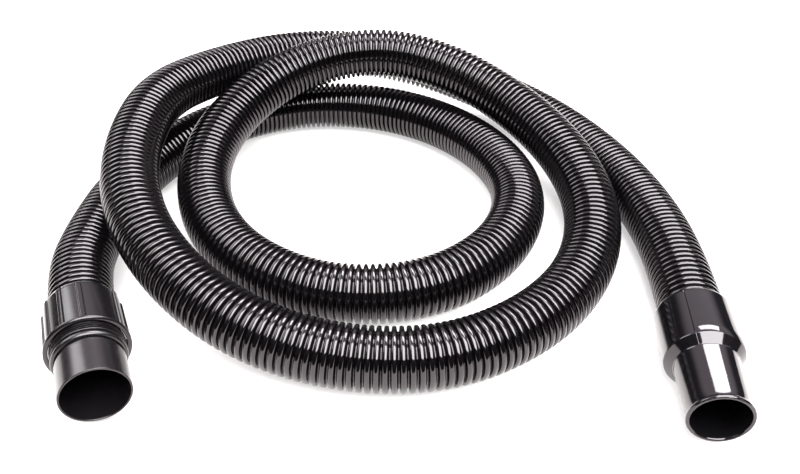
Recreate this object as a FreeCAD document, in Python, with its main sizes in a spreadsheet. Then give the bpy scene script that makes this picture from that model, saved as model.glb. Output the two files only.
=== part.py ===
import FreeCAD, Part
import math
import os
import re

import Sketcher

# Corrugated vacuum hose, lying on a floor in two and a half loose turns.
# One end carries a ribbed grip collar with a swivelling spigot for the machine,
# the other a stepped cuff that swivels and takes a wand or a tool.
# Millimetres, +Z up, floor at z = 0.

# Driving dimensions. "s" is the distance along a fitting's own axis, counted
# from the rim where the hose enters it towards its open mouth.
DIMENSIONS = {
    # hose
    "hose_outer": 23.0,
    "hose_wall": 2.2,
    "arc_share": 0.45,
    # running and assembly clearances
    "running_gap": 0.08,
    "side_gap": 0.3,
    "seat_gap": 0.05,
    # machine end: grip collar
    "collar_rim": 24.3,
    "collar_lead": 4.0,
    "collar_body": 26.4,
    "collar_length": 46.5,
    "collar_bore": 25.3,
    "flange_radius": 28.4,
    "flange_thick": 2.5,
    "grip_count": 11,
    "grip_sweep": 300,
    "grip_width": 3.4,
    "grip_root": 25.8,
    "grip_rear": 27.3,
    "grip_front": 28.1,
    "grip_start": 3.0,
    "grip_ramp": 2.5,
    "collar_hose_depth": 24.0,
    "ring_groove": 26.9,
    "ring_width": 1.4,
    "ring_lip": 0.9,
    # machine end: inner sleeve
    "sleeve_barrel_start": 4.0,
    "sleeve_bore": 17.6,
    "sleeve_flange": 3.0,
    "sleeve_neck": 20.22,
    "sleeve_neck_length": 15.0,
    "groove_depth": 1.4,
    "groove_width": 1.6,
    "groove_offset": 6.0,
    "washer_thick": 1.2,
    # machine end: spigot
    "spigot_total": 90.5,
    "spigot_outer": 23.0,
    "spigot_mouth_bore": 21.4,
    "spigot_ledge": 52.0,
    "relief_depth": 0.4,
    "relief_width": 1.5,
    "neck_outer": 24.3,
    "neck_ridge": 24.65,
    "neck_ridge_pitch": 1.5,
    "neck_front": 53.5,
    "seal_seat": 22.4,
    "seal_outer": 24.85,
    "seal_width": 5.2,
    "seal_round": 1.6,
    "seat_width": 8.5,
    "lip_round": 0.5,
    # tool end: cuff
    "cuff_rim": 24.4,
    "cuff_lead": 3.5,
    "cuff_body": 27.0,
    "cuff_shell": 27.3,
    "cuff_shell_start": 3.6,
    "cuff_shell_end": 46.4,
    "cuff_shell_round": 2.4,
    "cuff_shoulder": 46.6,
    "cuff_foot": 52.0,
    "cuff_foot_radius": 21.5,
    "cuff_tip_radius": 20.0,
    "cuff_bead": 21.2,
    "cuff_bead_start": 93.6,
    "cuff_total": 97.5,
    "cuff_bore": 17.5,
    "cuff_hose_depth": 26.0,
    "cuff_hose_clear": 23.4,
    "cuff_cavity": 24.8,
    "cuff_sleeve_flange": 24.5,
    "cuff_ring_groove": 25.8,
    "cuff_sleeve_bore": 17.4,
}

# Control points of the hose's centre line, from the face where it meets the
# inner sleeve of the machine end to the same face at the tool end.
# Two long low humps carry it over itself; elsewhere it lies on the floor.
ROUTE = [
    (-212, 26, 28.4), (-235, 79, 28.4), (-242, 135, 25), (-238, 213, 23),
    (-213, 281, 23), (-165, 341, 23), (-96, 374, 23), (-18, 370, 23),
    (49, 334, 23), (97, 273, 23), (116, 199, 23), (92, 125, 23),
    (34, 74, 23), (-44, 66, 23), (-112, 101, 25), (-156, 164, 27),
    (-170, 238, 39), (-147, 309, 55), (-93, 356, 75), (-17, 372, 86),
    (56, 352, 77), (118, 310, 56), (158, 244, 42), (172, 169, 31),
    (154, 98, 23), (107, 38, 23), (39, 1, 23), (-36, 2, 23),
    (-108, 24, 34), (-167, 73, 48), (-205, 135, 61), (-221, 208, 71),
    (-215, 284, 79), (-174, 349, 73), (-114, 402, 67), (-43, 423, 61),
    (32, 420, 47), (102, 389, 33), (159, 337, 25), (198, 266, 23),
    (220, 184, 24), (223, 97, 27.3), (214, 17, 27.3),
]

SPLIT_RING_ANGLE = 346
SHELL_ANGLE = 180
SHELL_TURN = -65
FIRST_GRIP_TURN = 83
MINOR_O_RING = 0.68

doc = FreeCAD.newDocument("vacuum_hose")


def make_sheet():
    """Put the driving dimensions in a spreadsheet, one alias each."""
    sheet = doc.addObject("Spreadsheet::Sheet", "Dims")
    for row, (alias, value) in enumerate(DIMENSIONS.items(), start=1):
        sheet.set("A%d" % row, alias)
        sheet.set("B%d" % row, str(value))
        sheet.setAlias("B%d" % row, alias)
    doc.recompute()
    return sheet


sheet = make_sheet()


def bound(text):
    """Turn 'hose_outer + 2' into an expression on the spreadsheet."""
    return re.sub(r"[a-z_]+", lambda word: "Dims." + word.group(0), text)


def fitting_placement(end, neighbour, face_station, turn=0):
    """Place a fitting whose local Z runs out along the hose's last run.

    end is the hose's end face, which lies face_station along the fitting.
    """
    axis = (FreeCAD.Vector(*end) - FreeCAD.Vector(*neighbour)).normalize()
    upright = FreeCAD.Vector(0, 0, 1)
    side = upright.cross(axis).normalize()
    top = axis.cross(side)
    frame = FreeCAD.Matrix(
        side.x, top.x, axis.x, 0,
        side.y, top.y, axis.y, 0,
        side.z, top.z, axis.z, 0,
        0, 0, 0, 1)
    rotation = FreeCAD.Placement(frame).Rotation
    spin = FreeCAD.Rotation(FreeCAD.Vector(0, 0, 1), turn)
    base = FreeCAD.Vector(*end) - axis * face_station
    return FreeCAD.Placement(base, rotation.multiply(spin))


def machine_placement(turn=0):
    return fitting_placement(ROUTE[0], ROUTE[1], DIMENSIONS["collar_hose_depth"], turn)


def tool_placement(turn=0):
    return fitting_placement(ROUTE[-1], ROUTE[-2], DIMENSIONS["cuff_hose_depth"], turn)


def new_body(label):
    body = doc.addObject("PartDesign::Body", label)
    body.Label = label
    return body


def origin_feature(body, role):
    for feature in body.Origin.OriginFeatures:
        if feature.Role == role:
            return feature
    raise ValueError(role)


def profile_sketch(body, name, corners):
    """Closed outline of (radius, station) corners on the body's XZ plane."""
    sketch = body.newObject("Sketcher::SketchObject", name)
    sketch.AttachmentSupport = [(origin_feature(body, "XZ_Plane"), "")]
    sketch.MapMode = "FlatFace"
    count = len(corners)
    start = [
        FreeCAD.Vector(60 + 20 * math.cos(2 * math.pi * i / count),
                       60 + 20 * math.sin(2 * math.pi * i / count), 0)
        for i in range(count)
    ]
    for i in range(count):
        sketch.addGeometry(Part.LineSegment(start[i], start[(i + 1) % count]))
    for i in range(count):
        sketch.addConstraint(Sketcher.Constraint("Coincident", i, 2, (i + 1) % count, 1))
    for i, (radius, station) in enumerate(corners):
        for kind, text, value in (("DistanceX", radius, start[i].x),
                                  ("DistanceY", station, start[i].y)):
            index = sketch.addConstraint(Sketcher.Constraint(kind, -1, 1, i, 1, value))
            sketch.setExpression("Constraints[%d]" % index, bound(text))
    return sketch


def turned(body, name, corners, angle=360):
    """Revolve an outline about the body's Z axis."""
    sketch = profile_sketch(body, name + "Profile", corners)
    turn = body.newObject("PartDesign::Revolution", name)
    turn.Profile = sketch
    turn.ReferenceAxis = (sketch, ["V_Axis"])
    turn.Angle = angle
    sketch.Visibility = False
    doc.recompute()
    return turn


def edges_at(feature, radius, station):
    """Names of a feature's circular edges at a radius and a station."""
    names = []
    for number, edge in enumerate(feature.Shape.Edges, start=1):
        curve = edge.Curve
        if not isinstance(curve, Part.Circle):
            continue
        if abs(curve.Radius - radius) < 1e-3 and abs(curve.Center.z - station) < 1e-3:
            names.append("Edge%d" % number)
    return names


def rounded(body, name, base, places, radius):
    """Fillet the circular edges at the given (radius, station) places."""
    names = []
    for place in places:
        names += edges_at(base, *place)
    fillet = body.newObject("PartDesign::Fillet", name)
    fillet.Base = (base, names)
    fillet.setExpression("Radius", bound(radius))
    doc.recompute()
    return fillet


def tube_path(points, share):
    """Straight runs joined by tangent arcs, one arc at each inner point."""
    corners = [FreeCAD.Vector(*point) for point in points]
    edges = []
    radii = []
    last = corners[0]
    for before, corner, after in zip(corners, corners[1:], corners[2:]):
        back = before - corner
        ahead = after - corner
        tangent = share * min(back.Length, ahead.Length)
        turn = math.pi - back.getAngle(ahead)
        radius = tangent / math.tan(turn / 2)
        back.normalize()
        ahead.normalize()
        entry = corner + back * tangent
        leave = corner + ahead * tangent
        middle = (back + ahead).normalize()
        top = corner + middle * (radius / math.cos(turn / 2) - radius)
        edges.append(Part.LineSegment(last, entry).toShape())
        edges.append(Part.Arc(entry, top, leave).toShape())
        radii.append(radius)
        last = leave
    edges.append(Part.LineSegment(last, corners[-1]).toShape())
    return Part.Wire(edges), radii


def swept_rod(path, radius):
    """Solid rod of a radius along a path."""
    start = path.Edges[0]
    centre = start.valueAt(start.FirstParameter)
    axis = start.tangentAt(start.FirstParameter)
    circle = Part.Wire([Part.makeCircle(radius, centre, axis)])
    return path.makePipeShell([circle], True, False)


def make_hose():
    """The hose as a plain tube; its wall weighs what the corrugated one does."""
    outer = sheet.hose_outer
    inner = outer - sheet.hose_wall
    path, radii = tube_path(ROUTE, sheet.arc_share)
    solid = swept_rod(path, outer).cut(swept_rod(path, inner))
    section = math.pi * (outer ** 2 - inner ** 2)
    print("hose length %.0f" % path.Length)
    print("hose arc radii", [round(radius) for radius in radii])
    print("hose volume / (section x length) %.5f" % (solid.Volume / (section * path.Length)))
    hose = doc.addObject("Part::Feature", "hose")
    hose.Label = "corrugated_hose"
    hose.Shape = solid.Solids[0]
    hose.Placement = FreeCAD.Placement()
    return hose


def make_grip_collar():
    """Ribbed collar that holds the hose end and the spigot's bearing."""
    body = new_body("machine_grip_collar")
    turned(body, "CollarShell", [
        ("hose_outer + seat_gap", "0"),
        ("collar_rim", "0"),
        ("collar_body - 0.4", "collar_lead"),
        ("collar_body", "collar_length - flange_thick - 0.5"),
        ("flange_radius", "collar_length - flange_thick"),
        ("flange_radius", "collar_length"),
        ("collar_bore", "collar_length"),
        ("collar_bore", "collar_length - ring_lip"),
        ("ring_groove", "collar_length - ring_lip"),
        ("ring_groove", "collar_length - ring_lip - ring_width"),
        ("collar_bore", "collar_length - ring_lip - ring_width"),
        ("collar_bore", "collar_hose_depth"),
        ("hose_outer + seat_gap", "collar_hose_depth"),
    ])
    sketch = profile_sketch(body, "GripProfile", [
        ("grip_root", "grip_start"),
        ("grip_rear", "grip_start + grip_ramp"),
        ("grip_front", "collar_length - flange_thick"),
        ("grip_root", "collar_length - flange_thick"),
    ])
    grip = body.newObject("PartDesign::Pad", "Grip")
    grip.Profile = sketch
    grip.Midplane = True
    grip.setExpression("Length", bound("grip_width"))
    sketch.Visibility = False
    doc.recompute()
    pattern = body.newObject("PartDesign::PolarPattern", "Grips")
    pattern.Originals = [grip]
    pattern.Axis = (origin_feature(body, "Z_Axis"), [""])
    pattern.setExpression("Angle", bound("grip_sweep"))
    pattern.setExpression("Occurrences", bound("grip_count"))
    body.Tip = pattern
    body.Placement = machine_placement(FIRST_GRIP_TURN)
    return body


def make_inner_sleeve(label, depth, bore, flange, placement):
    """Sleeve pushed into the hose end, with a thrust flange and a sealing neck."""
    body = new_body(label)
    front = depth + " + sleeve_flange + sleeve_neck_length"
    groove = depth + " + sleeve_flange + groove_offset"
    turned(body, "Sleeve", [
        (bore, "sleeve_barrel_start"),
        ("hose_outer - hose_wall - seat_gap", "sleeve_barrel_start"),
        ("hose_outer - hose_wall - seat_gap", depth),
        (flange, depth),
        (flange, depth + " + sleeve_flange"),
        ("sleeve_neck", depth + " + sleeve_flange"),
        ("sleeve_neck", groove),
        ("sleeve_neck - groove_depth", groove),
        ("sleeve_neck - groove_depth", groove + " + groove_width"),
        ("sleeve_neck", groove + " + groove_width"),
        ("sleeve_neck", front),
        (bore, front),
    ])
    body.Placement = placement
    return body


def make_washer(label, depth, flange, placement):
    """Glide washer in front of the sleeve's flange."""
    body = new_body(label)
    rear = depth + " + sleeve_flange"
    turned(body, "Washer", [
        ("sleeve_neck + seat_gap", rear),
        (flange, rear),
        (flange, rear + " + washer_thick"),
        ("sleeve_neck + seat_gap", rear + " + washer_thick"),
    ])
    body.Placement = placement
    return body


def make_o_ring(label, depth, placement):
    """Rubber O-ring in the neck's groove, flush with the neck."""
    ring = doc.addObject("Part::Torus", label)
    ring.Label = label
    ring.setExpression("Radius1", bound("sleeve_neck") + " - %g" % (MINOR_O_RING + 0.02))
    ring.Radius2 = MINOR_O_RING
    station = (DIMENSIONS[depth] + DIMENSIONS["sleeve_flange"] + DIMENSIONS["groove_offset"]
               + DIMENSIONS["groove_width"] / 2)
    ring.Placement = placement.multiply(
        FreeCAD.Placement(FreeCAD.Vector(0, 0, station), FreeCAD.Rotation()))
    return ring


def make_machine_retaining_ring():
    """Split ring in the collar's mouth that keeps the spigot's bearing in."""
    body = new_body("machine_retaining_ring")
    front = "collar_length - ring_lip - seat_gap"
    rear = "collar_length - ring_lip - ring_width + seat_gap"
    turned(body, "Ring", [
        ("neck_outer + 2 * side_gap", rear),
        ("ring_groove - seat_gap", rear),
        ("ring_groove - seat_gap", front),
        ("neck_outer + 2 * side_gap", front),
    ], SPLIT_RING_ANGLE)
    body.Placement = machine_placement()
    return body


def make_spigot():
    """Spigot that plugs into the machine and swivels in the grip collar."""
    body = new_body("machine_spigot")
    rear = "collar_hose_depth + sleeve_flange + washer_thick + side_gap"
    bearing_front = "collar_length - ring_lip - ring_width - 2 * side_gap"
    ridges = []
    for number in range(3):
        foot = "collar_length + 0.8 + %d * neck_ridge_pitch" % number
        ridges.append(("neck_outer", foot))
        ridges.append(("neck_ridge", foot + " + neck_ridge_pitch / 2"))
    turned(body, "Spigot", [
        ("sleeve_neck + running_gap", rear),
        ("collar_bore - running_gap", rear),
        ("collar_bore - running_gap", bearing_front),
        ("neck_outer", bearing_front),
        *ridges,
        ("neck_outer", "collar_length + 0.8 + 3 * neck_ridge_pitch"),
        ("neck_outer", "neck_front"),
        ("seal_seat", "neck_front"),
        ("seal_seat", "neck_front + seat_width"),
        ("spigot_outer", "neck_front + seat_width"),
        ("spigot_outer", "spigot_total - lip_round"),
        ("spigot_outer - lip_round", "spigot_total"),
        ("spigot_mouth_bore + lip_round", "spigot_total"),
        ("spigot_mouth_bore", "spigot_total - lip_round"),
        ("spigot_mouth_bore", "spigot_ledge"),
        ("spigot_mouth_bore + relief_depth", "spigot_ledge"),
        ("spigot_mouth_bore + relief_depth", "spigot_ledge - relief_width"),
        ("sleeve_neck + running_gap", "spigot_ledge - relief_width"),
    ])
    body.Placement = machine_placement()
    return body


def make_spigot_seal():
    """Rubber bead that seals the spigot in the machine's inlet."""
    body = new_body("spigot_seal_ring")
    rear = "neck_front + seat_gap"
    front = "neck_front + seal_width"
    ring = turned(body, "Seal", [
        ("seal_seat + seat_gap", rear),
        ("seal_outer", rear),
        ("seal_outer", front),
        ("seal_seat + seat_gap", front),
    ])
    outer = DIMENSIONS["seal_outer"]
    ends = (DIMENSIONS["neck_front"] + DIMENSIONS["seat_gap"],
            DIMENSIONS["neck_front"] + DIMENSIONS["seal_width"])
    rounded(body, "SealRound", ring, [(outer, ends[0]), (outer, ends[1])], "seal_round")
    body.Placement = machine_placement()
    return body


def make_cuff():
    """Stepped cuff: one moulding with a half-shell step, a shoulder and a beaded mouth."""
    body = new_body("tool_cuff")
    groove_rear = "cuff_hose_depth - ring_width - 2 * side_gap"
    turned(body, "Cuff", [
        ("cuff_hose_clear", "0"),
        ("cuff_rim", "0"),
        ("cuff_body", "cuff_lead"),
        ("cuff_body", "cuff_shoulder"),
        ("cuff_foot_radius", "cuff_foot"),
        ("cuff_tip_radius", "cuff_bead_start"),
        ("cuff_bead", "cuff_bead_start + 1.2"),
        ("cuff_bead", "cuff_total - 1"),
        ("cuff_bead - 1", "cuff_total"),
        ("cuff_bore + lip_round", "cuff_total"),
        ("cuff_bore", "cuff_total - lip_round"),
        ("cuff_bore", "cuff_hose_depth + sleeve_flange + sleeve_neck_length + 1"),
        ("sleeve_neck + running_gap", "cuff_hose_depth + sleeve_flange + sleeve_neck_length + 1"),
        ("sleeve_neck + running_gap",
         "cuff_hose_depth + sleeve_flange + washer_thick + side_gap"),
        ("cuff_cavity", "cuff_hose_depth + sleeve_flange + washer_thick + side_gap"),
        ("cuff_cavity", groove_rear + " + ring_width"),
        ("cuff_ring_groove", groove_rear + " + ring_width"),
        ("cuff_ring_groove", groove_rear),
        ("cuff_hose_clear", groove_rear),
    ])
    shell = turned(body, "HalfShell", [
        ("cuff_body - 0.5", "cuff_shell_start"),
        ("cuff_shell", "cuff_shell_start"),
        ("cuff_shell", "cuff_shell_end - cuff_shell_round"),
        ("cuff_body - 0.5", "cuff_shell_end"),
    ], SHELL_ANGLE)
    body.Tip = shell
    body.Placement = tool_placement(SHELL_TURN)
    return body


def make_tool_retaining_ring():
    """Split ring in the cuff, behind the sleeve's flange."""
    body = new_body("tool_retaining_ring")
    rear = "cuff_hose_depth - ring_width - 2 * side_gap + seat_gap"
    front = "cuff_hose_depth - 2 * side_gap - seat_gap"
    turned(body, "Ring", [
        ("cuff_hose_clear", rear),
        ("cuff_ring_groove - seat_gap", rear),
        ("cuff_ring_groove - seat_gap", front),
        ("cuff_hose_clear", front),
    ], SPLIT_RING_ANGLE)
    body.Placement = tool_placement()
    return body


def build():
    """Make every piece and return them in order along the hose."""
    return [
        make_spigot(),
        make_spigot_seal(),
        make_machine_retaining_ring(),
        make_grip_collar(),
        make_washer("machine_glide_washer", "collar_hose_depth",
                    "collar_bore - seat_gap", machine_placement()),
        make_o_ring("machine_o_ring", "collar_hose_depth", machine_placement()),
        make_inner_sleeve("machine_inner_sleeve", "collar_hose_depth", "sleeve_bore",
                          "collar_bore - seat_gap", machine_placement()),
        make_hose(),
        make_inner_sleeve("tool_inner_sleeve", "cuff_hose_depth", "cuff_sleeve_bore",
                          "cuff_sleeve_flange", tool_placement()),
        make_o_ring("tool_o_ring", "cuff_hose_depth", tool_placement()),
        make_washer("tool_glide_washer", "cuff_hose_depth",
                    "cuff_sleeve_flange", tool_placement()),
        make_tool_retaining_ring(),
        make_cuff(),
    ]


def check(pieces):
    """Stop on any failed feature or broken shape."""
    doc.recompute()
    for thing in doc.Objects:
        if "Invalid" in thing.State or "Error" in thing.State:
            raise RuntimeError("failed: %s %s" % (thing.Label, thing.State))
    for piece in pieces:
        shape = piece.Shape
        if shape.isNull() or not shape.isValid() or len(shape.Solids) != 1:
            raise RuntimeError("bad shape: " + piece.Label)


def export(pieces):
    """Write one STEP file per piece, named after its label."""
    os.makedirs("parts", exist_ok=True)
    for piece in pieces:
        piece.Shape.exportStep("parts/%s.step" % piece.Label)
        box = piece.Shape.BoundBox
        print("%-24s volume %9.0f  z %.2f to %.2f" % (
            piece.Label, piece.Shape.Volume, box.ZMin, box.ZMax))


PIECES = build()
check(PIECES)
export(PIECES)
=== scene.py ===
import math

import bpy
import numpy as np
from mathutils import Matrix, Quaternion, Vector


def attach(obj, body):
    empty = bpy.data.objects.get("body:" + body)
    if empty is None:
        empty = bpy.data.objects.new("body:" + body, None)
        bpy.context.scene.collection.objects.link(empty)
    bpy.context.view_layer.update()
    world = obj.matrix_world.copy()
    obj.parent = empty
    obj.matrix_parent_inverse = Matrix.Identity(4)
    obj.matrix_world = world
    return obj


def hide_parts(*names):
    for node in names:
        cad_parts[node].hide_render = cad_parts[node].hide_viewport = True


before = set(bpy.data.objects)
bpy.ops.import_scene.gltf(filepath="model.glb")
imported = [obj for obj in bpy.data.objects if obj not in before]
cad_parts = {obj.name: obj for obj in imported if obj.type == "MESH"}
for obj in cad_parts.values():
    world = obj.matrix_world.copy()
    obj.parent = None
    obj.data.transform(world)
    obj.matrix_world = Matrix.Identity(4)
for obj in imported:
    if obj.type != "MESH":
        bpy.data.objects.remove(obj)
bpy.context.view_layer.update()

# ---------------------------------------------------------------- camera

def make_camera():
    data = bpy.data.cameras.new("camera")
    data.sensor_width = 36.0
    data.lens = 35.154
    data.clip_start = 0.02
    data.clip_end = 60.0
    camera = bpy.data.objects.new("camera", data)
    camera.location = (0.0078, -0.3712, 0.4072)
    camera.rotation_euler = (math.radians(90 - 36.93), 0, 0)
    bpy.context.collection.objects.link(camera)
    bpy.context.scene.camera = camera


# ---------------------------------------------------------------- materials

class Nodes:
    """A short way to build a node tree."""

    def __init__(self, tree):
        self.tree = tree
        tree.nodes.clear()

    def add(self, kind, **values):
        node = self.tree.nodes.new(kind)
        for name, value in values.items():
            if hasattr(node, name):
                setattr(node, name, value)
            else:
                node.inputs[name.replace("_", " ")].default_value = value
        return node

    def link(self, source, target):
        self.tree.links.new(source, target)


def plastic(name, colour, rough, rough_span, noise_scale, bump=0.0, bump_scale=900.0,
            specular=0.5, mottle=0.25):
    """Moulded plastic or rubber with uneven gloss, faint mottling and a fine moulded grain."""
    material = bpy.data.materials.new(name)
    material.use_nodes = True
    n = Nodes(material.node_tree)
    out = n.add("ShaderNodeOutputMaterial")
    shader = n.add("ShaderNodeBsdfPrincipled")
    shader.inputs["Specular IOR Level"].default_value = specular
    shader.inputs["Specular Tint"].default_value = (1.0, 0.92, 0.97, 1)
    n.link(shader.outputs[0], out.inputs[0])
    place = n.add("ShaderNodeTexCoord")
    cloud = n.add("ShaderNodeTexNoise", Scale=noise_scale, Detail=5.0, Roughness=0.6)
    n.link(place.outputs["Object"], cloud.inputs["Vector"])
    gloss = n.add("ShaderNodeMapRange")
    gloss.inputs["From Min"].default_value = 0.3
    gloss.inputs["From Max"].default_value = 0.7
    gloss.inputs["To Min"].default_value = rough - rough_span
    gloss.inputs["To Max"].default_value = rough + rough_span
    n.link(cloud.outputs["Fac"], gloss.inputs["Value"])
    n.link(gloss.outputs[0], shader.inputs["Roughness"])
    mix = n.add("ShaderNodeMix", data_type="RGBA")
    dark = [c * (1 - mottle) for c in colour]
    light = [c * (1 + mottle) for c in colour]
    mix.inputs[6].default_value = (*dark, 1)
    mix.inputs[7].default_value = (*light, 1)
    n.link(cloud.outputs["Fac"], mix.inputs[0])
    n.link(mix.outputs[2], shader.inputs["Base Color"])
    if bump:
        grain = n.add("ShaderNodeTexNoise", Scale=bump_scale, Detail=2.0)
        n.link(place.outputs["Object"], grain.inputs["Vector"])
        relief = n.add("ShaderNodeBump", Strength=bump, Distance=0.0004)
        n.link(grain.outputs["Fac"], relief.inputs["Height"])
        n.link(relief.outputs[0], shader.inputs["Normal"])
    return material


# ---------------------------------------------------------------- the hose

# The hose's route, as in the model: control points of its centre line in metres.
ROUTE = [
    (-0.212, 0.026, 0.0284), (-0.235, 0.079, 0.0284), (-0.242, 0.135, 0.025),
    (-0.238, 0.213, 0.023), (-0.213, 0.281, 0.023), (-0.165, 0.341, 0.023),
    (-0.096, 0.374, 0.023), (-0.018, 0.370, 0.023), (0.049, 0.334, 0.023),
    (0.097, 0.273, 0.023), (0.116, 0.199, 0.023), (0.092, 0.125, 0.023),
    (0.034, 0.074, 0.023), (-0.044, 0.066, 0.023), (-0.112, 0.101, 0.025),
    (-0.156, 0.164, 0.027), (-0.170, 0.238, 0.039), (-0.147, 0.309, 0.055),
    (-0.093, 0.356, 0.075), (-0.017, 0.372, 0.086), (0.056, 0.352, 0.077),
    (0.118, 0.310, 0.056), (0.158, 0.244, 0.042), (0.172, 0.169, 0.031),
    (0.154, 0.098, 0.023), (0.107, 0.038, 0.023), (0.039, 0.001, 0.023),
    (-0.036, 0.002, 0.023), (-0.108, 0.024, 0.034), (-0.167, 0.073, 0.048),
    (-0.205, 0.135, 0.061), (-0.221, 0.208, 0.071), (-0.215, 0.284, 0.079),
    (-0.174, 0.349, 0.073), (-0.114, 0.402, 0.067), (-0.043, 0.423, 0.061),
    (0.032, 0.420, 0.047), (0.102, 0.389, 0.033), (0.159, 0.337, 0.025),
    (0.198, 0.266, 0.023), (0.220, 0.184, 0.024), (0.223, 0.097, 0.0273),
    (0.214, 0.017, 0.0273),
]
HOSE_RADIUS = 0.023
MM = 0.001
RIB_PITCH = 0.00555


def spline_points(route):
    """Points read from the route's own smooth spline, close together."""
    curve = bpy.data.curves.new("route", "CURVE")
    curve.dimensions = "3D"
    curve.resolution_u = 48
    spline = curve.splines.new("NURBS")
    spline.points.add(len(route) - 1)
    for point, place in zip(spline.points, route):
        point.co = (*place, 1)
    spline.order_u = 3
    spline.use_endpoint_u = True
    holder = bpy.data.objects.new("route", curve)
    bpy.context.collection.objects.link(holder)
    mesh = bpy.data.meshes.new_from_object(holder)
    points = np.array([v.co[:] for v in mesh.vertices])
    bpy.data.meshes.remove(mesh)
    bpy.data.objects.remove(holder)
    bpy.data.curves.remove(curve)
    return points


class Line:
    """The centre line by arc length, with a frame carried along without twist."""

    def __init__(self, points):
        step = np.linalg.norm(np.diff(points, axis=0), axis=1)
        keep = np.r_[True, step > 1e-7]
        points = points[keep]
        step = np.linalg.norm(np.diff(points, axis=0), axis=1)
        self.points = points
        self.far = np.r_[0, np.cumsum(step)]
        self.length = self.far[-1]
        tangent = np.gradient(points, axis=0)
        self.tangent = tangent / np.linalg.norm(tangent, axis=1)[:, None]
        side = np.cross(self.tangent[0], (0, 0, 1))
        sides = []
        for direction in self.tangent:
            side = side - direction * side.dot(direction)
            side = side / np.linalg.norm(side)
            sides.append(side)
        self.side = np.array(sides)

    def at(self, stations, values):
        return np.stack([np.interp(stations, self.far, values[:, i]) for i in range(3)], 1)

    def rings(self, stations, radii, segments):
        """Rings of points round the line at the given stations and radii."""
        centre = self.at(stations, self.points)
        along = self.at(stations, self.tangent)
        along /= np.linalg.norm(along, axis=1)[:, None]
        side = self.at(stations, self.side)
        side -= along * (side * along).sum(1)[:, None]
        side /= np.linalg.norm(side, axis=1)[:, None]
        up = np.cross(along, side)
        turn = np.linspace(0, 2 * np.pi, segments, endpoint=False)
        spoke = (side[:, None, :] * np.cos(turn)[None, :, None]
                 + up[:, None, :] * np.sin(turn)[None, :, None])
        return centre[:, None, :] + spoke * np.asarray(radii)[:, None, None]


def grid_faces(rows, columns, closed_rows=False):
    """Quads between neighbouring rings of a wrapped grid."""
    faces = []
    last = rows if closed_rows else rows - 1
    for i in range(last):
        j = (i + 1) % rows
        for a in range(columns):
            b = (a + 1) % columns
            faces.append((i * columns + a, i * columns + b, j * columns + b, j * columns + a))
    return faces


def mesh_piece(name, vertices, faces):
    mesh = bpy.data.meshes.new(name)
    mesh.from_pydata([tuple(v) for v in vertices], [], faces)
    mesh.update()
    mesh.polygons.foreach_set("use_smooth", [True] * len(mesh.polygons))
    piece = bpy.data.objects.new(name, mesh)
    bpy.context.collection.objects.link(piece)
    return piece


def rib_profile():
    """One rib: share of the pitch and radius, from the start of its groove floor."""
    top = HOSE_RADIUS
    return [
        (0.00, top - 0.0036),
        (0.10, top - 0.0039),
        (0.20, top - 0.0036),
        (0.26, top - 0.0016),
        (0.34, top - 0.0004),
        (0.48, top - 0.0001),
        (0.62, top),
        (0.76, top - 0.0001),
        (0.88, top - 0.0005),
        (0.95, top - 0.0016),
    ]


def make_hose():
    line = Line(spline_points(ROUTE))
    plain = 0.0215
    count = round((line.length - 2 * plain) / RIB_PITCH)
    pitch = (line.length - 2 * plain) / count
    stations = [0.0, plain * 0.5]
    radii = [HOSE_RADIUS - 0.0002, HOSE_RADIUS - 0.0002]
    for rib in range(count):
        for share, radius in rib_profile():
            stations.append(plain + (rib + share) * pitch)
            radii.append(radius)
    stations += [line.length - plain * 0.5, line.length]
    radii += [HOSE_RADIUS - 0.0002, HOSE_RADIUS - 0.0002]
    segments = 40
    outer = line.rings(np.array(stations), radii, segments)
    # the bore, walked back from the far end, closes the wall
    inside = np.r_[0, plain, plain + 0.004,
                   np.arange(0.04, line.length - 0.04, 0.012),
                   line.length - plain - 0.004, line.length - plain, line.length][::-1]
    bore = np.where((inside <= plain) | (inside >= line.length - plain), 0.0208, 0.0190)
    inner = line.rings(inside, bore, segments)
    rings = np.concatenate([outer, inner])
    hose = mesh_piece("ribbed_hose", rings.reshape(-1, 3),
                      grid_faces(len(rings), segments, closed_rows=True))
    hose.data.materials.append(plastic(
        "hose_black", (0.0014, 0.0012, 0.0014), 0.10, 0.03, 38.0, bump=0.03, bump_scale=700.0))
    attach(hose, "hose_body")
    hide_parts("corrugated_hose")
    return hose


# ---------------------------------------------------------------- the fittings

UP = Vector((0, 0, 1))


def fitting_frame(end, neighbour, depth):
    """Origin and axes of a fitting; its stations run out along the hose's last run."""
    end, neighbour = Vector(end), Vector(neighbour)
    axis = (end - neighbour).normalized()
    side = UP.cross(axis).normalized()
    top = axis.cross(side)
    return [np.array(v) for v in (end - axis * depth * MM, side, top, axis)]


MACHINE = fitting_frame(ROUTE[0], ROUTE[1], 24.0)
TOOL = fitting_frame(ROUTE[-1], ROUTE[-2], 26.0)


def softened(corners, steps=5, hold=0.12):
    """Round an open outline of (station, radius, rounding) corners, in mm.

    A short step is held beside every rounding so that flat faces stay flat.
    """
    places = [np.array(c[:2], float) for c in corners]
    out = []
    for i, (corner, place) in enumerate(zip(corners, places)):
        rounding = corner[2]
        if i in (0, len(corners) - 1) or rounding == 0:
            out.append(place)
            continue
        back = places[i - 1] - place
        ahead = places[i + 1] - place
        back_length, ahead_length = np.linalg.norm(back), np.linalg.norm(ahead)
        reach = min(rounding, 0.48 * back_length, 0.48 * ahead_length)
        start = place + back / back_length * reach
        end = place + ahead / ahead_length * reach
        if back_length > 4 * hold + reach:
            out.append(start + back / back_length * hold)
        for t in np.linspace(0, 1, steps):
            out.append((1 - t) ** 2 * start + 2 * t * (1 - t) * place + t ** 2 * end)
        if ahead_length > 4 * hold + reach:
            out.append(end + ahead / ahead_length * hold)
    return np.array(out)


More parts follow.
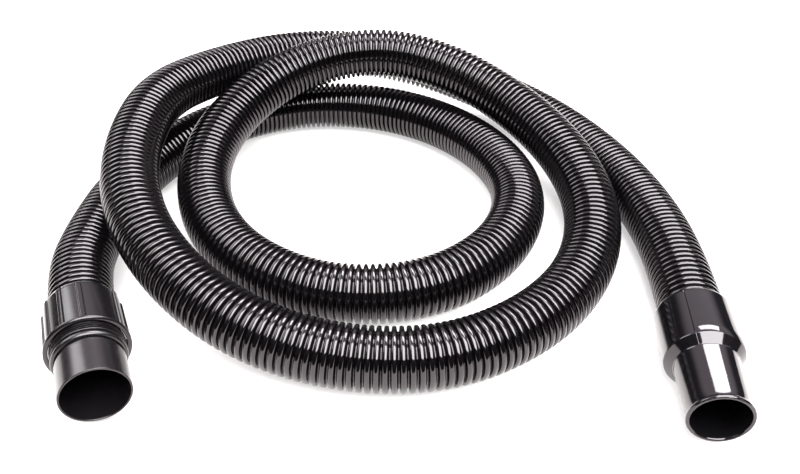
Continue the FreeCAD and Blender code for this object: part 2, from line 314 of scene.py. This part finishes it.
def turned_piece(name, where, rows, turns, relief=None):
    """Sweep rows of (station, radius) round a fitting's axis, with relief on its outside."""
    origin, side, top, axis = where
    rows = np.asarray(rows)
    grid = np.repeat(rows[:, 1][:, None], len(turns), axis=1)
    if relief is not None:
        grid = relief(rows[:, 0], grid, turns)
    spoke = np.cos(turns)[:, None] * side + np.sin(turns)[:, None] * top
    points = (origin + axis * (rows[:, 0] * MM)[:, None, None]
              + spoke[None] * (grid * MM)[:, :, None])
    return mesh_piece(name, points.reshape(-1, 3),
                      grid_faces(len(rows), len(turns), closed_rows=True))


def finish_piece(piece, node, body, look):
    piece.data.materials.append(looks[look])
    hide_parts(node)
    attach(piece, body)


# grip collar: distance across a grip from its middle line (mm) and share of its height
GRIP_SECTION = [(0.0, 1.0), (0.9, 1.0), (1.25, 0.97), (1.5, 0.86), (1.62, 0.6), (1.68, 0.3),
                (1.76, 0.08), (1.95, 0.0), (2.4, 0.0)]
GRIP_TURNS = [math.radians(83 + 30 * k) for k in range(11)]
# mean radius that turns a distance across a grip into an angle
GRIP_RADIUS = 26.6


def around(half_turn, turns):
    """Signed shortest angle from half_turn to each of the turns."""
    return (turns - half_turn + math.pi) % (2 * math.pi) - math.pi


def collar_turns():
    marks = []
    for grip in GRIP_TURNS:
        for offset, _ in GRIP_SECTION:
            marks += [grip + offset / GRIP_RADIUS, grip - offset / GRIP_RADIUS]
    marks = np.array(sorted(m % (2 * math.pi) for m in marks))
    keep = np.r_[True, np.diff(marks) > 1e-5]
    marks = marks[keep]
    filled = list(marks)
    for a, b in zip(marks, np.r_[marks[1:], marks[0] + 2 * math.pi]):
        extra = int((b - a) / math.radians(4.0))
        filled += [a + (b - a) * (i + 1) / (extra + 1) for i in range(extra)]
    return np.array(sorted(m % (2 * math.pi) for m in filled))


def collar_relief(outer_rows):
    offsets = [o for o, _ in GRIP_SECTION]
    shares = [h for _, h in GRIP_SECTION]

    def relief(stations, grid, turns):
        share = np.zeros(len(turns))
        for grip in GRIP_TURNS:
            across = np.abs(around(grip, turns)) * GRIP_RADIUS
            share = np.maximum(share, np.interp(across, offsets, shares, right=0.0))
        for i in range(outer_rows):
            top = np.interp(stations[i], (3.0, 3.5, 4.8, 5.6, 6.2, 44.0),
                            (25.8, 26.35, 27.1, 27.28, 27.32, 28.1))
            if 3.0 <= stations[i] <= 44.0:
                grid[i] = np.maximum(grid[i], grid[i] + (top - grid[i]) * share)
        return grid
    return relief


def make_collar():
    outer = softened([
        (0.0, 23.3, 0), (0.0, 24.3, 0.35), (4.0, 25.95, 0.8), (5.0, 26.0, 0), (5.8, 26.02, 0),
        (6.6, 26.03, 0), (14.0, 26.1, 0), (24.0, 26.2, 0), (34.0, 26.3, 0), (43.5, 26.4, 0.3),
        (44.0, 28.4, 0.22), (46.5, 28.4, 0.14)], steps=5)
    face = softened([(46.5, 28.3, 0), (46.5, 25.3, 0.3), (45.6, 25.3, 0), (45.6, 26.9, 0),
                     (44.2, 26.9, 0), (44.2, 25.3, 0), (24.0, 25.3, 0), (24.0, 23.1, 0),
                     (0.4, 23.1, 0.2), (0.0, 23.3, 0)], steps=4)[1:-1]
    rows = np.concatenate([outer, face])
    turns = collar_turns()
    finish_piece(turned_piece("grip_collar", MACHINE, rows, turns, collar_relief(len(outer))),
                 "machine_grip_collar", "hose_body", "collar")


def make_spigot():
    ridges = []
    for number in range(2):
        crest = 48.2 + 2.1 * number
        ridges += [(crest - 0.3, 22.7, 0.1), (crest - 0.12, 24.3, 0.12), (crest + 0.12, 24.3, 0.12),
                   (crest + 0.3, 22.7, 0.1)]
    rows = softened([
        (28.5, 20.4, 0), (28.5, 25.22, 0.3), (43.6, 25.22, 0.3), (43.6, 24.2, 0.2),
        (46.2, 24.2, 0.2), (46.5, 22.7, 0.2), *ridges,
        (52.0, 22.7, 0.2), (52.2, 24.75, 0.2), (53.2, 24.8, 0.45), (53.45, 22.3, 0.1),
        (61.7, 21.9, 0.3), (62.0, 22.95, 0.4), (90.4, 23.0, 0.55), (90.5, 21.7, 0.45),
        (89.5, 21.4, 0.3), (52.0, 21.35, 0), (46.0, 20.35, 0),
        (29.0, 20.3, 0)], steps=5)
    finish_piece(turned_piece("stepped_spigot", MACHINE, rows, even_turns(144)),
                 "machine_spigot", "machine_spigot_body", "spigot")


def make_seal():
    """A rounded rubber bead in its seat behind the spigot's tube."""
    rows = []
    for angle in np.linspace(0, math.pi, 17):
        station = 56.15 - 2.45 * math.cos(angle)
        rows.append((station, 22.6 + 2.2 * math.sin(angle) ** 0.85))
    rows += [(58.55, 22.4), (53.75, 22.4)]
    finish_piece(turned_piece("seal_bead", MACHINE, rows, even_turns(144)),
                 "spigot_seal_ring", "machine_spigot_body", "rubber")


def even_turns(count):
    return np.linspace(0, 2 * math.pi, count, endpoint=False)


PAD_FROM, PAD_TO = math.radians(-65), math.radians(115)
PAD_RADIUS = 27.0


def cuff_turns():
    """Even turns, with close lines either side of the raised pad's two edges."""
    marks = list(even_turns(144))
    for edge in (PAD_FROM, PAD_TO):
        for offset in (-1.0, -0.75, -0.58, -0.54, -0.34, -0.14, -0.1, 0.0, 0.12, 0.22, 0.5, 1.0):
            marks.append(edge + offset / PAD_RADIUS)
    marks = np.array(sorted(m % (2 * math.pi) for m in marks))
    return marks[np.r_[True, np.diff(marks) > 5e-4]]


def make_cuff():
    """Stepped cuff: plain half and raised pad half share one shoulder and one tube."""
    plain = softened([(0.0, 24.4, 0), (0.35, 24.95, 0.3), (3.4, 26.75, 1.3), (46.6, 27.0, 0.7),
                      (52.0, 21.55, 0.8), (60.0, 21.2, 0), (93.4, 20.0, 0)], steps=9, hold=0.2)
    pad = softened([(0.0, 24.4, 0), (0.35, 24.95, 0.3), (3.4, 26.75, 1.3), (39.5, 27.28, 0),
                    (41.0, 27.28, 0), (42.2, 27.21, 0), (43.3, 27.09, 0), (44.3, 26.92, 0),
                    (45.1, 26.72, 0), (45.8, 26.48, 0), (46.25, 26.3, 0.2), (52.0, 21.55, 0.8),
                    (60.0, 21.2, 0), (93.4, 20.0, 0)], steps=9, hold=0.2)
    stations = np.unique(np.round(np.r_[plain[:, 0], pad[:, 0], np.arange(10, 93, 5.0)], 3))
    stations = stations[np.r_[True, np.diff(stations) > 0.04]]
    outer = np.stack([stations, np.interp(stations, plain[:, 0], plain[:, 1])], 1)
    mouth = softened([(93.4, 20.0, 0), (93.9, 20.05, 0.4), (95.0, 21.1, 0.9), (96.6, 21.2, 1.2),
                      (97.5, 20.2, 0.8), (97.4, 19.2, 0.6), (96.8, 18.6, 0.7), (93.5, 17.6, 0.5),
                      (90.0, 17.5, 0), (45.0, 17.5, 0), (45.0, 20.3, 0), (30.3, 20.3, 0),
                      (30.3, 24.8, 0), (25.9, 24.8, 0), (25.9, 25.8, 0), (24.5, 25.8, 0),
                      (24.5, 23.4, 0), (0.3, 23.4, 0.2), (0.0, 23.8, 0)], steps=6)[1:]
    rows = np.concatenate([outer, mouth])
    raised = np.interp(stations, pad[:, 0], pad[:, 1])

    def relief(_, grid, turns):
        middle = (PAD_FROM + PAD_TO) / 2
        inside = (PAD_TO - PAD_FROM) / 2 - np.abs(around(middle, turns))
        share = np.interp(inside * PAD_RADIUS, (-0.1, 0.0, 0.12), (0.0, 0.85, 1.0))
        seam = np.interp(np.abs(inside * PAD_RADIUS + 0.34), (0.0, 0.2, 0.24), (1.0, 1.0, 0.0))
        count = len(stations)
        depth = np.interp(stations, (3.0, 4.0, 45.6, 46.4), (0.0, 0.8, 0.8, 0.0))
        plain_grid = grid[:count]
        lift = raised[:, None] - plain_grid
        grid[:count] = plain_grid + lift * share - depth[:, None] * seam
        return grid

    finish_piece(turned_piece("stepped_cuff", TOOL, rows, cuff_turns(), relief),
                 "tool_cuff", "tool_cuff_body", "cuff")


# ---------------------------------------------------------------- the stage

def make_floor():
    bpy.ops.mesh.primitive_plane_add(size=12, location=(0, 0.2, -0.0006))
    floor = bpy.context.object
    floor.name = "floor"
    material = bpy.data.materials.new("floor_white")
    material.use_nodes = True
    n = Nodes(material.node_tree)
    out = n.add("ShaderNodeOutputMaterial")
    shader = n.add("ShaderNodeBsdfPrincipled", Roughness=0.7)
    n.link(shader.outputs[0], out.inputs[0])
    place = n.add("ShaderNodeTexCoord")
    cloud = n.add("ShaderNodeTexNoise", Scale=1.5, Detail=2.0)
    n.link(place.outputs["Object"], cloud.inputs["Vector"])
    tone = n.add("ShaderNodeMix", data_type="RGBA")
    tone.inputs[6].default_value = (0.48, 0.445, 0.44, 1)
    tone.inputs[7].default_value = (0.52, 0.48, 0.48, 1)
    n.link(cloud.outputs["Fac"], tone.inputs[0])
    n.link(tone.outputs[2], shader.inputs["Base Color"])
    shader.inputs["Emission Color"].default_value = (1, 1, 1, 1)
    shader.inputs["Emission Strength"].default_value = 0.55
    floor.data.materials.append(material)


def make_world():
    """A dark room whose upper half is a soft white canopy."""
    world = bpy.data.worlds.new("studio")
    bpy.context.scene.world = world
    world.use_nodes = True
    n = Nodes(world.node_tree)
    out = n.add("ShaderNodeOutputWorld")
    place = n.add("ShaderNodeTexCoord")
    split = n.add("ShaderNodeSeparateXYZ")
    n.link(place.outputs["Generated"], split.inputs[0])
    height = n.add("ShaderNodeMapRange")
    height.interpolation_type = "SMOOTHSTEP"
    height.inputs["From Min"].default_value = 0.28
    height.inputs["From Max"].default_value = 0.58
    height.inputs["To Min"].default_value = 0.02
    height.inputs["To Max"].default_value = 1.5
    n.link(split.outputs["Z"], height.inputs["Value"])
    behind = n.add("ShaderNodeMapRange")
    behind.interpolation_type = "SMOOTHSTEP"
    behind.inputs["From Min"].default_value = -0.45
    behind.inputs["From Max"].default_value = 0.1
    behind.inputs["To Min"].default_value = 0.06
    behind.inputs["To Max"].default_value = 1.0
    n.link(split.outputs["Y"], behind.inputs["Value"])
    level = n.add("ShaderNodeMath", operation="MULTIPLY")
    n.link(height.outputs[0], level.inputs[0])
    n.link(behind.outputs[0], level.inputs[1])
    canopy = n.add("ShaderNodeBackground")
    n.link(level.outputs[0], canopy.inputs["Strength"])
    plain = n.add("ShaderNodeBackground", Strength=1.0)
    plain.inputs["Color"].default_value = (1, 1, 1, 1)
    canopy.inputs["Color"].default_value = (1.0, 0.92, 0.98, 1)
    path = n.add("ShaderNodeLightPath")
    mix = n.add("ShaderNodeMixShader")
    n.link(path.outputs["Is Camera Ray"], mix.inputs[0])
    n.link(canopy.outputs[0], mix.inputs[1])
    n.link(plain.outputs[0], mix.inputs[2])
    n.link(mix.outputs[0], out.inputs[0])


def softbox(name, azimuth, elevation, distance, width, height, radiance, roll=0):
    """A rectangular soft light aimed at the middle of the coil. Azimuth 0 is +Y, 90 is +X."""
    a, e = math.radians(azimuth), math.radians(elevation)
    away = Vector((math.sin(a) * math.cos(e), math.cos(a) * math.cos(e), math.sin(e)))
    data = bpy.data.lights.new(name, "AREA")
    data.shape = "RECTANGLE"
    data.color = (0.97, 1.0, 0.985)
    data.size = width
    data.size_y = height
    data.energy = radiance * math.pi * width * height
    lamp = bpy.data.objects.new(name, data)
    lamp.location = Vector((0, 0.2, 0)) + away * distance
    lamp.rotation_mode = "QUATERNION"
    turn = Quaternion((0, 0, 1), math.radians(roll))
    lamp.rotation_quaternion = away.to_track_quat("Z", "Y") @ turn
    bpy.context.collection.objects.link(lamp)
    return lamp


def make_light():
    overhead = softbox("overhead_softbox", 180, 89.9, 2.0, 2.3, 2.05, 20.0)
    overhead.location = (0.65, -0.88, 2.0)
    softbox("back_softbox", 32, 59, 2.4, 1.8, 0.9, 22.0, roll=25)
    softbox("left_softbox", -72, 40, 2.5, 1.9, 1.2, 7.0)


def set_view():
    scene = bpy.context.scene
    scene.view_settings.view_transform = "Standard"
    scene.view_settings.look = "None"
    scene.view_settings.exposure = 0.0


make_camera()

looks = {
    "collar": plastic("collar_black", (0.0032, 0.0027, 0.0031), 0.20, 0.02, 60.0, 0.05, 1500.0,
                      specular=0.42, mottle=0.12),
    "spigot": plastic("spigot_black", (0.0040, 0.0034, 0.0040), 0.24, 0.02, 60.0, 0.04, 1200.0,
                      specular=0.42, mottle=0.12),
    "rubber": plastic("seal_rubber", (0.003, 0.003, 0.003), 0.26, 0.04, 90.0, 0.08, 1800.0),
    "cuff": plastic("cuff_black", (0.0026, 0.0023, 0.0028), 0.085, 0.02, 30.0, 0.16, 60.0),
    # painted shade: near-black base colour and weak specular keep the inner sleeves, deep inside
    # both mouths, dark
    "sleeve": plastic("sleeve_plastic", (0.0008, 0.0008, 0.0008), 0.6, 0.05, 60.0, 0.1, 1200.0,
                      specular=0.06),
    "acetal": plastic("washer_acetal", (0.6, 0.6, 0.57), 0.35, 0.05, 60.0, 0.05, 1200.0),
}
make_collar()
make_spigot()
make_seal()
make_cuff()
make_hose()


def dress(node, material):
    data = bpy.data.objects[node].data
    data.materials.clear()
    data.materials.append(material)


def steel():
    material = plastic("ring_steel", (0.55, 0.55, 0.56), 0.3, 0.08, 120.0, 0.05, 1500.0)
    for node in material.node_tree.nodes:
        if node.type == "BSDF_PRINCIPLED":
            node.inputs["Metallic"].default_value = 1.0
    return material


looks["steel"] = steel()
for node, look in {
    "machine_inner_sleeve": "sleeve", "machine_glide_washer": "acetal", "machine_o_ring": "rubber",
    "machine_retaining_ring": "steel", "tool_inner_sleeve": "sleeve",
    "tool_glide_washer": "acetal", "tool_o_ring": "rubber", "tool_retaining_ring": "steel",
}.items():
    dress(node, looks[look])

make_floor()
make_world()
make_light()
set_view()
